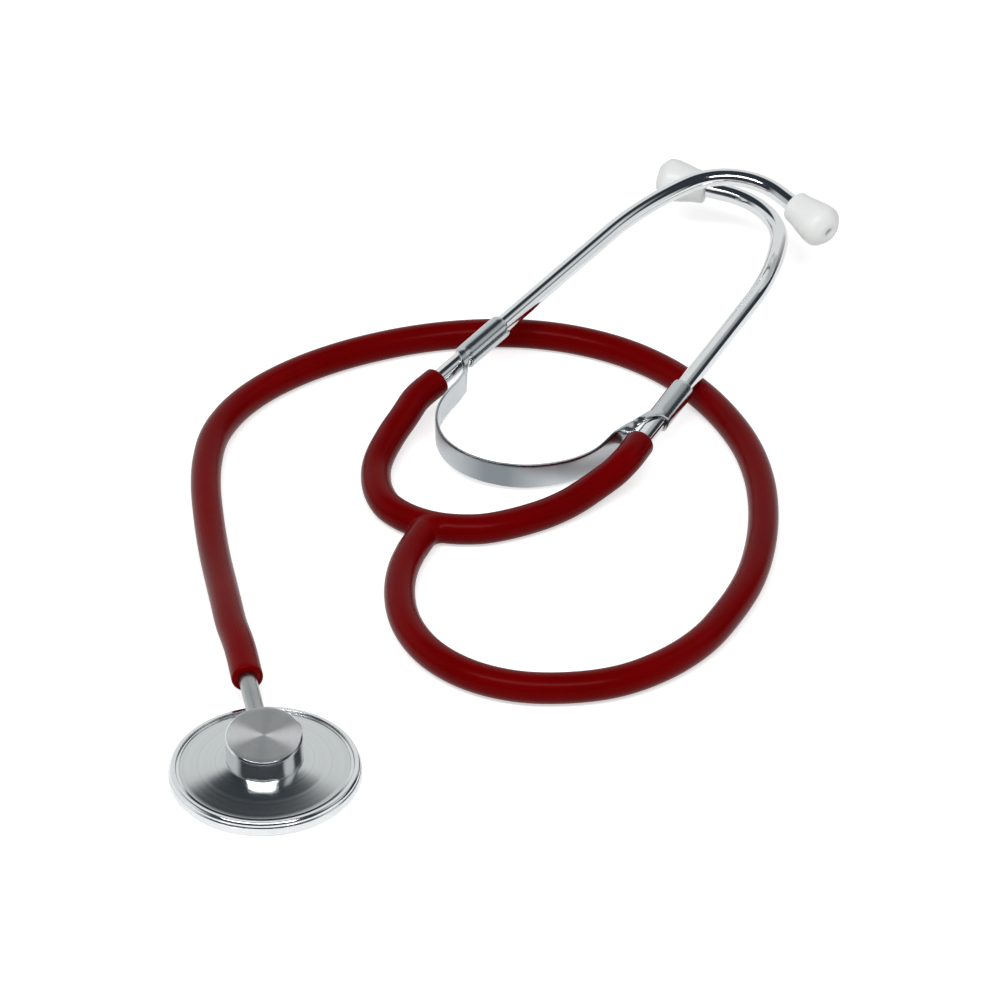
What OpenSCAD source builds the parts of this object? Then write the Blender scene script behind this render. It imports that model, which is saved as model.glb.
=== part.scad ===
// Single-head stethoscope, lying on a table.
// Origin: centre of the chestpiece's rest face. +Z up along the chestpiece's axis,
// +Y away from the user's side, +X to the right.

/* [Chestpiece] */
// Outer diameter of the retaining ring
ring_d = 48; // [44:0.5:60]
// Height of the retaining ring
ring_h = 3.8; // [3.4:0.1:6]
// Radial width of the ring's top lip, from its outside to the thread
ring_lip_w = 1.8; // [1.2:0.1:3]
// Radial width of the ring's rest face
rest_face_w = 3.2; // [2:0.1:5]
// Thickness of the ring's lower lip, which holds the diaphragm
lower_lip_t = 0.8; // [0.6:0.1:1.5]
// Height by which the dish rises from its rim to the hub
dish_rise = 2.4; // [1:0.1:5]
// Radial width of the polished bevel round the dish
bevel_w = 0.8; // [0.4:0.1:1.5]
// Thickness of the dish at its cavity's edge
dish_wall = 2.2; // [1.4:0.1:2.4]
// Diameter of the hub
hub_d = 19.2; // [14:0.1:24]
// Height of the hub above the dish at its low side
hub_low_h = 5.5; // [5:0.1:9]
// Extra height of the hub at its high side, over the stem
hub_slope_h = 3.2; // [0:0.1:5]
// Chamfer on the hub's top edge
hub_chamfer = 0.35; // [0.1:0.05:0.8]
// Thickness of the diaphragm
diaphragm_t = 0.35; // [0.2:0.05:0.5]

/* [Stem and hose] */
// Outer diameter of the stem
stem_d = 4.6; // [4:0.1:5.6]
// Height of the stem's axis above the rest face
stem_z = 9.5; // [9:0.1:10]
// Depth to which the stem is pressed into the hub
stem_seat = 5; // [3:0.1:6]
// Length of stem inside the hose
stem_in_hose = 13; // [8:0.5:13.5]
// Bore of the air passages
air_d = 3.2; // [2:0.1:3.4]
// Outer diameter of the hoses
hose_d = 8.1; // [7.4:0.1:9.9]

/* [Ear tubes] */
// Outer diameter of the ear tubes
ear_tube_d = 5; // [4.4:0.1:6]
// Wall of the ear tubes
ear_tube_wall = 0.6; // [0.4:0.1:0.8]
// Straight length of an ear tube, from the hose's end
ear_straight = 73.8; // [55:0.1:90]
// Centre radius of the gentle bend
wide_bend_r = 96; // [70:1:120]
// Angle of the gentle bend
wide_bend_a = 18; // [10:1:22]
// Centre radius of the tight bend
tight_bend_r = 20.5; // [17:0.5:23]
// Angle of the tight bend
tight_bend_a = 81; // [70:1:88]
// Straight length between the tight bend and the eartip
ear_end = 6; // [4:0.5:9]
// Length of ear tube inside the hose
ear_in_hose = 9; // [5:0.5:9]

/* [Spring] */
// Thickness of the spring sheet
sheet_t = 0.7; // [0.5:0.05:0.9]
// Width of the spring strip
strip_w = 7.2; // [6:0.1:8]
// Length of a ferrule
ferrule_l = 15.5; // [12:0.5:20]
// Distance from the hose's end to the ferrule
ferrule_start = 11.3; // [9:0.1:14]
// Width of the ferrule's open seam
seam_w = 0.8; // [0.4:0.1:1.5]

/* [Eartips] */
// Largest diameter of an eartip
tip_d = 12.4; // [10:0.1:13]
// Diameter of an eartip at its base
tip_base_d = 9; // [8:0.1:10]
// Length of an eartip
tip_l = 14.5; // [12:0.5:17]
// Diameter of the sound hole
tip_hole_d = 2.2; // [1.5:0.1:2.6]
// Length of the screwed end of the ear tube
screw_l = 7; // [5:0.5:8]
// Radial step from the ear tube down to its screwed end
screw_step = 0.3; // [0.2:0.05:0.35]

/* [Fits] */
// Radial clearance of parts that turn on each other
running_fit = 0.04; // [0.02:0.01:0.08]
// Clearance between parts that are seated face to face
seat_gap = 0.04; // [0.02:0.01:0.1]
// Clearance round the ends of the spring strip
strip_gap = 0.4; // [0.3:0.05:0.6]

/* [Hidden] */
$fn = 64;
cut = 0.5;

// Hose routes: the third number is the height of the hose's underside over the table.
main_line = [
    [-5.3, 27, stem_z - hose_d / 2], [-8.05, 41, stem_z - hose_d / 2], [-10.6, 51.6, 4.5],
    [-12.4, 61.8, 3.3], [-14.2, 72.4, 1.9], [-16.2, 83.9, 0.7], [-18, 95.5, 0.1],
    [-19.5, 107, 0], [-20.7, 119, 0], [-20.9, 131, 0], [-19.5, 143, 0], [-15.1, 154.6, 0],
    [-8, 165, 0], [1.1, 173.7, 0], [12.1, 181.2, 0], [24, 187, 0], [37, 191.3, 0],
    [51, 193.6, 0], [66, 193.4, 0], [80, 190.1, 0], [93, 183.8, 0], [104, 174.9, 0],
    [113.2, 163.4, 0], [120, 151, 0], [125.1, 137.1, 0], [127.8, 122.1, 0], [128.2, 107, 0],
    [126.7, 91.8, 0], [123.2, 76.7, 0], [117.4, 62.9, 0], [109.6, 49.8, 0], [100, 40.2, 0],
    [88, 33.2, 0], [75, 30.5, 0], [62, 31.2, 0], [50.5, 35.8, 0], [40.9, 44.3, 0],
    [34.7, 55.7, 0], [32.1, 69.5, 0], [33.15, 83.2, 0], [34.7, 88.95, 0]
];
left_line = [
    [29.5, 108.1, 0], [28.5, 109.3, 0], [27.5, 111.2, 0], [26.5, 113.6, 0], [25.7, 116.3, 0],
    [25.1, 119.4, 0], [24.8, 122.8, 0], [24.8, 126.8, 0.2], [25.4, 130.6, 0.7],
    [26.5, 134.4, 1.3], [27.9, 138.1, 1.9], [29.5, 141.7, 2.7], [31.3, 145.1, 3.5],
    [33, 148.6, 4.25], [34.7, 152.1, 5.11], [41.09, 159.7, 6.91]
];
right_line = [
    [48.6, 99.2, 0], [51.5, 99.2, 0], [54.5, 99.6, 0], [58, 100.6, 0], [62, 102.1, 0],
    [66, 104, 0], [69.8, 106.1, 0], [73.3, 108.4, 0.1], [76.8, 110.9, 0.4], [80, 113.5, 0.9],
    [83.1, 116.1, 1.6], [85.8, 118.3, 2.4], [87.8, 119.9, 3], [89.9, 121.8, 3.9],
    [91.63, 123.77, hose_d - 3.47], [96.03, 132.29, hose_d - 2.99]
];
y_place = [37, 99.2, 0];

// Middle of the spring strip, between its two ends beside the ferrules.
strip_bow = [
    [48.8, 160.3, 12.5], [46.7, 154.2, 11.8], [43.8, 148.9, 11], [41.5, 143.7, 10],
    [41, 138, 9], [42.8, 132.3, 7.8], [46.8, 127.7, 6.8], [52.3, 124.5, 6], [58.4, 122.8, 5.4],
    [65, 122.4, 5], [71.8, 123.4, 5], [78.4, 125.5, 5.3], [84.3, 128.7, 6], [89.2, 133, 6.9],
    [92.8, 137.2, 7.9], [95.9, 140.6, 8.8]
];

// Turn of each ear tube about its straight stretch, which tips its hook up or down.
left_roll = 8.2;
right_roll = 5.8;

ring_r = ring_d / 2;
thread_r = ring_r - ring_lip_w;
lip_r = ring_r - rest_face_w;
ring_edge = 0.5;
ring_round_r = 1.1;
rim_r = thread_r - running_fit;
bevel_r = rim_r - bevel_w;
bevel_h = 0.3;
diaphragm_z = lower_lip_t + seat_gap;
rim_z = diaphragm_z + diaphragm_t + seat_gap;
dish_edge_z = ring_h - 0.4;
hub_r = hub_d / 2;
hub_base_z = dish_edge_z + dish_rise;
hub_top_z = hub_base_z + hub_low_h + hub_slope_h / 2;
hub_slope_a = atan(hub_slope_h / hub_d);
undercut = 0.25;
cavity_r = lip_r - 0.1;
cavity_depth = dish_edge_z - dish_wall;
cavity_top_z = rim_z + max(cavity_depth, 0.5) + dish_rise * 0.8;
air_r = air_d / 2;

hose_r = hose_d / 2;
hose_sides = 12;
main_route = lay(main_line);
left_route = lay(left_line);
right_route = lay(right_line);
y_centre = y_place + [0, 0, hose_r];

stem_yaw = atan2(main_route[0][1], main_route[0][0]);
stem_out = norm([main_route[0][0], main_route[0][1]]);
stem_inner_x = hub_r - stem_seat;
stem_end_x = stem_out + stem_in_hose;

// The branches' hoses turn into each other through the junction; the right one leaves along +X.
y_main_end = main_route[len(main_route) - 1];
y_turn = 180 - atan2(left_route[0][1] - y_centre[1], left_route[0][0] - y_centre[0]);
y_bend_r = norm(right_route[0] - y_centre) / tan(y_turn / 2);
y_middle = y_centre
    + (y_bend_r / cos(y_turn / 2) - y_bend_r) * [cos(90 - y_turn / 2), sin(90 - y_turn / 2), 0];
y_arm_r = hose_r - 0.1;
y_arm_bore_r = air_r - 0.1;

ear_r = ear_tube_d / 2;
ear_bore_r = ear_r - ear_tube_wall;
bend_thinning = 0.05;
bend_overlap_a = 0.5;
ferrule_bore_r = ear_r + running_fit;
ferrule_r = ferrule_bore_r + sheet_t;
screw_r = ear_r - screw_step;
tip_r = tip_d / 2;
tip_base_r = tip_base_d / 2;
tip_nose_r = 3.2;
tip_base_round = 0.9;

// The strip starts and ends beside the ear tubes, in line with the sheet of the ferrules.
strip_out = ear_r + strip_gap + sheet_t;
strip_route = concat(
    [beside_ear_tube(left_route, ferrule_start - strip_gap, -strip_out)],
    strip_bow,
    [beside_ear_tube(right_route, ferrule_start - strip_gap, strip_out)]
);

function unit(v) = v / norm(v);

// Centreline of a hose that lies along a line of underside points.
function lay(line) = [for (p = line) p + [0, 0, hose_r]];

// Point level with an ear tube's axis: x along it from the hose's end, y to its left.
function beside_ear_tube(route, x, y) =
    let (
        end = route[len(route) - 1],
        forward = heading(route, len(route) - 1)
    )
    end + x * forward + y * unit(cross([0, 0, 1], forward));

// Direction of a route at one of its points.
function heading(route, i) =
    i == 0 ? unit(route[1] - route[0])
    : i == len(route) - 1 ? unit(route[i] - route[i - 1])
    : unit(unit(route[i + 1] - route[i]) + unit(route[i] - route[i - 1]));

// Circle of points round a route's point, square to the route.
function hoop(route, i, radius, sides) =
    let (
        along = heading(route, i),
        side = unit(cross([0, 0, 1], along)),
        up = cross(along, side)
    )
    [for (k = [0 : sides - 1])
        route[i] + radius * (cos(360 * k / sides) * side + sin(360 * k / sides) * up)];

// Wall of a swept tube between rings of points: ring i starts at first + i * sides.
function wall_faces(rings, sides, first, outward) = [
    for (i = [0 : rings - 2], k = [0 : sides - 1])
        let (
            a = first + i * sides + k,
            b = first + i * sides + (k + 1) % sides,
            quad = [a, b, b + sides, a + sides]
        )
        outward ? [quad[3], quad[2], quad[1], quad[0]] : quad
];

// Flat ring of faces that closes a hollow tube at one end.
function end_faces(sides, outer, inner, forward) = [
    for (k = [0 : sides - 1])
        let (
            n = (k + 1) % sides,
            quad = [outer + k, outer + n, inner + n, inner + k]
        )
        forward ? quad : [quad[3], quad[2], quad[1], quad[0]]
];

// Hollow hose along a route; the bore clears a round insert.
module hose(route, insert_d) {
    rings = len(route);
    bore_r = (insert_d / 2 + running_fit) / cos(180 / hose_sides);
    outer_points = [for (i = [0 : rings - 1]) each hoop(route, i, hose_r, hose_sides)];
    inner_points = [for (i = [0 : rings - 1]) each hoop(route, i, bore_r, hose_sides)];
    inner_first = rings * hose_sides;
    last = (rings - 1) * hose_sides;
    polyhedron(
        points = concat(outer_points, inner_points),
        faces = concat(
            wall_faces(rings, hose_sides, 0, true),
            wall_faces(rings, hose_sides, inner_first, false),
            end_faces(hose_sides, 0, inner_first, true),
            end_faces(hose_sides, last, inner_first + last, false)
        ),
        convexity = 10
    );
}

// Turns and moves a cylinder's axis, which is +Z, onto the line from one point to another.
module along(from, to) {
    v = to - from;
    translate(from)
        rotate([0, 90 - atan2(v[2], norm([v[0], v[1]])), atan2(v[1], v[0])])
            children();
}

// Frame of an ear tube: origin at the hose's end, +X along the tube's straight stretch.
module ear_frame(route, roll) {
    last = len(route) - 1;
    v = route[last] - route[last - 1];
    translate(route[last])
        rotate([0, -atan2(v[2], norm([v[0], v[1]])), atan2(v[1], v[0])])
            rotate([roll, 0, 0])
                children();
}

module left_frame() {
    ear_frame(left_route, left_roll) mirror([0, 1, 0]) children();
}

module right_frame() {
    ear_frame(right_route, right_roll) children();
}

module straight_rod(radius, from_x, to_x) {
    translate([from_x, 0, 0])
        rotate([0, 90, 0])
            cylinder(r = radius, h = to_x - from_x);
}

// Bent rod from the origin, heading +X and turning towards +Y.
module bent_rod(radius, bend_r, angle) {
    translate([0, bend_r, 0])
        rotate([0, 0, -90])
            rotate_extrude(angle = angle)
                translate([bend_r, 0])
                    circle(r = radius);
}

module after_bend(bend_r, angle) {
    translate([0, bend_r, 0])
        rotate([0, 0, angle])
            translate([0, -bend_r, 0])
                children();
}

module at_ear_end() {
    translate([ear_straight, 0, 0])
        after_bend(wide_bend_r, wide_bend_a)
            after_bend(tight_bend_r, tight_bend_a)
                translate([ear_end, 0, 0])
                    children();
}

// Rod along the ear tube's axis, with another radius round the tight bend.
module ear_rod(radius, tight_r, before) {
    straight_rod(radius, -ear_in_hose - before, ear_straight);
    translate([ear_straight, 0, 0]) {
        bent_rod(radius, wide_bend_r, wide_bend_a);
        after_bend(wide_bend_r, wide_bend_a)
            after_bend(tight_bend_r, -bend_overlap_a)
                bent_rod(tight_r, tight_bend_r, tight_bend_a + 2 * bend_overlap_a);
    }
    at_ear_end() straight_rod(radius, -ear_end, 0);
}

// Bent metal tube, a little thinner where it is drawn round the tight bend, with a screwed end.
module ear_tube() {
    difference() {
        union() {
            ear_rod(ear_r, ear_r - bend_thinning, 0);
            at_ear_end() straight_rod(screw_r, -cut, screw_l);
        }
        ear_rod(ear_bore_r, ear_bore_r + bend_thinning, cut);
        at_ear_end() straight_rod(ear_bore_r, -cut, screw_l + cut);
    }
}

// Sleeve rolled from the end of the spring sheet, open along its inner side.
module ferrule() {
    seam_a = 110;
    difference() {
        straight_rod(ferrule_r, ferrule_start, ferrule_start + ferrule_l);
        straight_rod(ferrule_bore_r, ferrule_start - cut, ferrule_start + ferrule_l + cut);
        rotate([seam_a, 0, 0])
            translate([ferrule_start - cut, -seam_w / 2, -2 * ferrule_r])
                cube([ferrule_l + 2 * cut, seam_w, 2 * ferrule_r]);
    }
}

module eartip() {
    nose_x = tip_l - tip_nose_r;
    shoulder_r = tip_r - tip_nose_r;
    socket_l = screw_l + 0.5;
    crown = 0.7;
    nose = [for (a = [0 : 15 : 90])
        [nose_x + (tip_nose_r - crown) * sin(a), shoulder_r + tip_nose_r * cos(a)]];
    base = [for (a = [0 : 30 : 90])
        [tip_base_round * (1 - sin(a)), tip_base_r - tip_base_round * (1 - cos(a))]];
    at_ear_end()
        rotate([0, 90, 0])
            rotate_extrude()
                rotate([0, 0, 90])
                    mirror([0, 1, 0])
                        difference() {
                            polygon(concat(
                                [[seat_gap, tip_hole_d / 2]],
                                [for (i = [len(base) - 1 : -1 : 0]) base[i] + [seat_gap, 0]],
                                nose,
                                [[tip_l, tip_hole_d / 2]]
                            ));
                            translate([-cut, 0])
                                square([socket_l + cut, screw_r + running_fit]);
                        }
}

module chestpiece_body() {
    color("silver")
        difference() {
            union() {
                rotate_extrude()
                    polygon([
                        [0, rim_z], [rim_r, rim_z], [rim_r, dish_edge_z], [bevel_r, dish_edge_z + bevel_h],
                        [bevel_r, dish_edge_z], [hub_r, hub_base_z], [0, hub_base_z]
                    ]);
                hub();
            }
            rotate_extrude()
                polygon([
                    [0, rim_z - cut], [cavity_r, rim_z - cut], [cavity_r, rim_z],
                    [air_r, cavity_top_z], [0, cavity_top_z]
                ]);
            cylinder(r = air_r, h = stem_z);
            translate([0, 0, stem_z])
                rotate([0, 0, stem_yaw]) {
                    straight_rod(air_r, 0, hub_r);
                    straight_rod(stem_d / 2, stem_inner_x, hub_r + cut);
                }
        }
}

// Hub with a narrow undercut at its foot and a sloping, chamfered top.
module hub() {
    slope_h = 4 * hub_r;
    top_r = hub_r / cos(hub_slope_a) - hub_chamfer;
    intersection() {
        union() {
            translate([0, 0, hub_base_z - undercut])
                cylinder(r = hub_r - undercut, h = 2 * undercut);
            translate([0, 0, hub_base_z + undercut])
                cylinder(r = hub_r, h = hub_top_z);
        }
        translate([0, 0, hub_top_z])
            rotate([hub_slope_a, 0, 0])
                translate([0, 0, -slope_h])
                    cylinder(r1 = top_r + slope_h, r2 = top_r, h = slope_h);
    }
}

module retaining_ring() {
    round_z = ring_h - ring_round_r;
    round_x = ring_r - ring_round_r;
    color("gainsboro")
        rotate_extrude()
            polygon(concat(
                [[lip_r, 0], [ring_r - ring_edge, 0], [ring_r, ring_edge]],
                [for (a = [0 : 15 : 90]) [round_x + ring_round_r * cos(a), round_z + ring_round_r * sin(a)]],
                [[thread_r, ring_h], [thread_r, lower_lip_t], [lip_r, lower_lip_t]]
            ));
}

module diaphragm() {
    color("whitesmoke")
        translate([0, 0, diaphragm_z])
            cylinder(r = rim_r - 0.2, h = diaphragm_t);
}

module stem() {
    color("lightgray")
        translate([0, 0, stem_z])
            rotate([0, 0, stem_yaw])
                difference() {
                    straight_rod(stem_d / 2, stem_inner_x, stem_end_x);
                    straight_rod(air_r, stem_inner_x - cut, stem_end_x + cut);
                }
}

module main_tube() {
    color("darkred") hose(main_route, stem_d);
}

module left_branch() {
    color("darkred") hose(left_route, ear_tube_d);
}

module right_branch() {
    color("darkred") hose(right_route, ear_tube_d);
}

// Moulded joint of the three hoses: one bend between the branches, and an arm to the main hose.
module y_junction() {
    color("darkred")
        difference() {
            union() {
                y_bend(hose_r);
                along(y_middle, y_main_end) cylinder(r = y_arm_r, h = norm(y_main_end - y_middle));
            }
            y_bend(air_r);
            along(y_middle, y_main_end) cylinder(r = y_arm_bore_r, h = norm(y_main_end - y_middle) + cut);
        }
}

module y_bend(radius) {
    translate(right_route[0] + [0, y_bend_r, 0])
        rotate([0, 0, -90 - y_turn])
            rotate_extrude(angle = y_turn)
                translate([y_bend_r, 0])
                    circle(r = radius);
}

// Flat strip on its edge, swept along its route and bowed in a U.
module spring_strip() {
    rings = len(strip_route);
    corners = 4;
    points = [
        for (i = [0 : rings - 1])
            let (
                side = unit(cross([0, 0, 1], heading(strip_route, i))),
                wide = [0, 0, strip_w / 2],
                thick = side * sheet_t / 2,
                at = strip_route[i]
            )
            each [at + thick + wide, at - thick + wide, at - thick - wide, at + thick - wide]
    ];
    last = (rings - 1) * corners;
    color("lightslategray")
        polyhedron(
            points = points,
            faces = concat(
                wall_faces(rings, corners, 0, false),
                [[3, 2, 1, 0], [last, last + 1, last + 2, last + 3]]
            ),
            convexity = 10
        );
}

module left_ferrule() {
    color("gainsboro") left_frame() ferrule();
}

module right_ferrule() {
    color("gainsboro") right_frame() ferrule();
}

module left_ear_tube() {
    color("silver") left_frame() ear_tube();
}

module right_ear_tube() {
    color("silver") right_frame() ear_tube();
}

module left_eartip() {
    color("honeydew") left_frame() eartip();
}

module right_eartip() {
    color("honeydew") right_frame() eartip();
}

chestpiece_body();
retaining_ring();
diaphragm();
stem();
main_tube();
y_junction();
left_branch();
right_branch();
spring_strip();
left_ferrule();
right_ferrule();
left_ear_tube();
right_ear_tube();
left_eartip();
right_eartip();
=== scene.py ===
"""A single-head stethoscope lying on a table: its looks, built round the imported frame."""

import logging
import math
from dataclasses import dataclass, field
from enum import Enum
from typing import Any, Callable, Optional, Sequence

import bmesh
import bpy
from mathutils import Matrix, Vector


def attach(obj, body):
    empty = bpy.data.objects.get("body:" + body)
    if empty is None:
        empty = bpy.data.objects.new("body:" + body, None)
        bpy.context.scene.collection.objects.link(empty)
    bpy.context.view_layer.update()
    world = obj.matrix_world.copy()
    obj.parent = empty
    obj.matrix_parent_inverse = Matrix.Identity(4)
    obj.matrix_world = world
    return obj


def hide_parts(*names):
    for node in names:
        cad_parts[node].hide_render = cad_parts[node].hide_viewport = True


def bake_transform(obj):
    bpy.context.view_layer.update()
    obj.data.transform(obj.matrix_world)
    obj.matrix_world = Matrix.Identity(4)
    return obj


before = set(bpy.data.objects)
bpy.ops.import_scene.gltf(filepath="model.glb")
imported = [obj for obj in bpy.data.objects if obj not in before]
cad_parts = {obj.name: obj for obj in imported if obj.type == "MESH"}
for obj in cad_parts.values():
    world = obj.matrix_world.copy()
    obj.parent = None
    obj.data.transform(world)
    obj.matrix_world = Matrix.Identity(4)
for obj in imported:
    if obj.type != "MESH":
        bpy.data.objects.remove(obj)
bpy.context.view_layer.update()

log = logging.getLogger("stethoscope")

MM = 0.001
POLE = 1e-7
UP = Vector((0.0, 0.0, 1.0))

Point = tuple[float, float, float]
Station = tuple[float, float]
Corner = tuple[float, float, float]


class Body(Enum):
    """The bodies that the pieces ride on."""

    ROOT = "root"
    RING = "ring"
    LEFT_ARM = "left_arm"
    LEFT_TUBE = "left_tube"
    LEFT_TIP = "left_tip"
    RIGHT_ARM = "right_arm"
    RIGHT_TUBE = "right_tube"
    RIGHT_TIP = "right_tip"


class Slot(Enum):
    """The material slot names that the finishes carry."""

    SATIN = "satin_metal"
    POLISHED = "polished_metal"
    SPRING = "spring_steel"
    HOSE = "red_hose"
    EARTIP = "eartip_plastic"
    DIAPHRAGM = "diaphragm_plastic"


# ---------------------------------------------------------------- shaders


class Value:
    """A number socket that adds Math nodes when it is used in an expression."""

    def __init__(self, shader: "Shader", socket: bpy.types.NodeSocket) -> None:
        """Wraps a node's output socket."""
        self.shader = shader
        self.socket = socket

    def _maths(self, operation: str, first: Any, second: Any = 0.0) -> "Value":
        """A Math node on two numbers or values."""
        return self.shader.maths(operation, first, second)

    def __add__(self, other: Any) -> "Value":
        """Sum."""
        return self._maths("ADD", self, other)

    def __radd__(self, other: Any) -> "Value":
        """Sum, reflected."""
        return self._maths("ADD", other, self)

    def __sub__(self, other: Any) -> "Value":
        """Difference."""
        return self._maths("SUBTRACT", self, other)

    def __rsub__(self, other: Any) -> "Value":
        """Difference, reflected."""
        return self._maths("SUBTRACT", other, self)

    def __mul__(self, other: Any) -> "Value":
        """Product."""
        return self._maths("MULTIPLY", self, other)

    def __rmul__(self, other: Any) -> "Value":
        """Product, reflected."""
        return self._maths("MULTIPLY", other, self)

    def __truediv__(self, other: Any) -> "Value":
        """Quotient."""
        return self._maths("DIVIDE", self, other)

    def sine(self) -> "Value":
        """Sine of an angle in radians."""
        return self._maths("SINE", self)

    def root(self) -> "Value":
        """Square root."""
        return self._maths("SQRT", self)

    def clamped(self) -> "Value":
        """Held between 0 and 1."""
        return self._maths("MINIMUM", self._maths("MAXIMUM", self, 0.0), 1.0)

    def step_from(self, low: float, high: float) -> "Value":
        """0 below low, 1 above high and straight between."""
        return ((self - low) / (high - low)).clamped()


class Shader:
    """Builds a material's or the world's nodes."""

    def __init__(self, tree: bpy.types.NodeTree) -> None:
        """Starts on an empty tree."""
        self.tree = tree
        tree.nodes.clear()

    def node(
        self, kind: str, settings: Optional[dict[str, Any]] = None, inputs: Optional[dict[Any, Any]] = None
    ) -> bpy.types.Node:
        """Adds a node.

        Args:
            kind: The node's type.
            settings: Properties that are set first.
            inputs: Numbers, colours, sockets or values, by the input's name or place.

        Returns:
            The new node.
        """
        made = self.tree.nodes.new(kind)
        for name, setting in (settings or {}).items():
            setattr(made, name, setting)
        for name, value in (inputs or {}).items():
            socket = made.inputs[name]
            if isinstance(value, Value):
                value = value.socket
            if isinstance(value, bpy.types.NodeSocket):
                self.tree.links.new(value, socket)
            else:
                socket.default_value = value
        return made

    def maths(self, operation: str, first: Any, second: Any = 0.0) -> Value:
        """A Math node's result as a value."""
        made = self.node("ShaderNodeMath", {"operation": operation}, {0: first, 1: second})
        return Value(self, made.outputs[0])

    def place(self, of: str = "Object") -> bpy.types.NodeSocket:
        """The surface's coordinates: Object, or UV along a swept piece."""
        return self.node("ShaderNodeTexCoord").outputs[of]

    def scaled(self, vector: Any, scale: Point) -> bpy.types.NodeSocket:
        """Coordinates stretched by a Mapping node."""
        return self.node("ShaderNodeMapping", {}, {"Vector": vector, "Scale": scale}).outputs[0]

    def parts(self, vector: Any) -> list[Value]:
        """The three numbers of a vector."""
        made = self.node("ShaderNodeSeparateXYZ", {}, {0: vector})
        return [Value(self, socket) for socket in made.outputs]

    def noise(self, vector: Any, scale: float, detail: float = 3.0, roughness: float = 0.5) -> Value:
        """Noise from 0 to 1."""
        inputs = {"Vector": vector, "Scale": scale, "Detail": detail, "Roughness": roughness}
        made = self.node("ShaderNodeTexNoise", {}, inputs)
        return Value(self, made.outputs["Fac"])

    def mix(self, factor: Any, first: Any, second: Any) -> bpy.types.NodeSocket:
        """A colour between two colours."""
        made = self.node("ShaderNodeMix", {"data_type": "RGBA"}, {0: factor, 6: first, 7: second})
        return made.outputs[2]

    def bump(self, height: Value, depth: float, strength: float = 1.0) -> bpy.types.NodeSocket:
        """A normal from a height of 0 to 1, which is depth metres high."""
        made = self.node("ShaderNodeBump", {}, {"Strength": strength, "Distance": depth, "Height": height})
        return made.outputs[0]

    def finish(self, shader: bpy.types.NodeSocket) -> None:
        """Links a shader to the material's output."""
        self.node("ShaderNodeOutputMaterial", {}, {"Surface": shader})


def tone(red: float, green: float, blue: float) -> tuple[float, float, float, float]:
    """An opaque colour from linear parts."""
    return (red, green, blue, 1.0)


@dataclass(frozen=True)
class Finish:
    """A surface's finish, made once as a material and shared by its pieces."""

    name: str
    slot: Slot

    def material(self) -> bpy.types.Material:
        """The finish's material, built when it is first asked for."""
        found = bpy.data.materials.get(self.name)
        if found is None:
            found = bpy.data.materials.new(self.name)
            found.use_nodes = True
            shader = Shader(found.node_tree)
            surface = self.surface(shader)
            shader.finish(surface.outputs[0])
        return found

    def surface(self, shader: Shader) -> bpy.types.Node:
        """The finish's shader node."""
        raise NotImplementedError


@dataclass(frozen=True)
class RedHose(Finish):
    """Glossy soft vinyl tubing, a little mottled and with faint drawn lines along it."""

    deep: tuple = tone(0.122, 0.0, 0.0003)
    bright: tuple = tone(0.146, 0.0, 0.0008)
    gloss: float = 0.27

    def surface(self, shader: Shader) -> bpy.types.Node:
        """Principled vinyl."""
        along = shader.place("UV")
        cloud = shader.noise(shader.place(), 60.0, 3.0)
        lines = shader.noise(shader.scaled(along, (2600.0, 18.0, 1.0)), 1.0, 2.0)
        grain = shader.noise(shader.place(), 2400.0, 2.0)
        rough = self.gloss + 0.1 * (cloud - 0.5) + 0.06 * (lines - 0.5)
        return shader.node(
            "ShaderNodeBsdfPrincipled",
            {},
            {
                "Base Color": shader.mix(cloud.step_from(0.3, 0.7), self.deep, self.bright),
                "Roughness": rough,
                "IOR": 1.46,
                "Specular IOR Level": 0.09,
                "Specular Tint": tone(1.0, 0.32, 0.32),
                "Normal": shader.bump(0.6 * grain + 0.4 * lines, 0.00002, 0.4),
            },
        )


@dataclass(frozen=True)
class Chrome(Finish):
    """Bright plating with faint smears and hairline scratches."""

    colour: tuple = tone(0.80, 0.81, 0.82)
    worn: tuple = tone(0.74, 0.76, 0.77)
    gloss: float = 0.06

    def surface(self, shader: Shader) -> bpy.types.Node:
        """Principled mirror metal."""
        place = shader.place()
        smear = shader.noise(place, 90.0, 4.0, 0.6)
        hair = shader.noise(shader.scaled(place, (1800.0, 160.0, 1800.0)), 1.0, 2.0)
        return shader.node(
            "ShaderNodeBsdfPrincipled",
            {},
            {
                "Base Color": shader.mix(smear.step_from(0.35, 0.75), self.colour, self.worn),
                "Metallic": 1.0,
                "Roughness": self.gloss + 0.06 * smear,
                "Normal": shader.bump(hair, 0.000003, 0.3),
            },
        )


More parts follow.
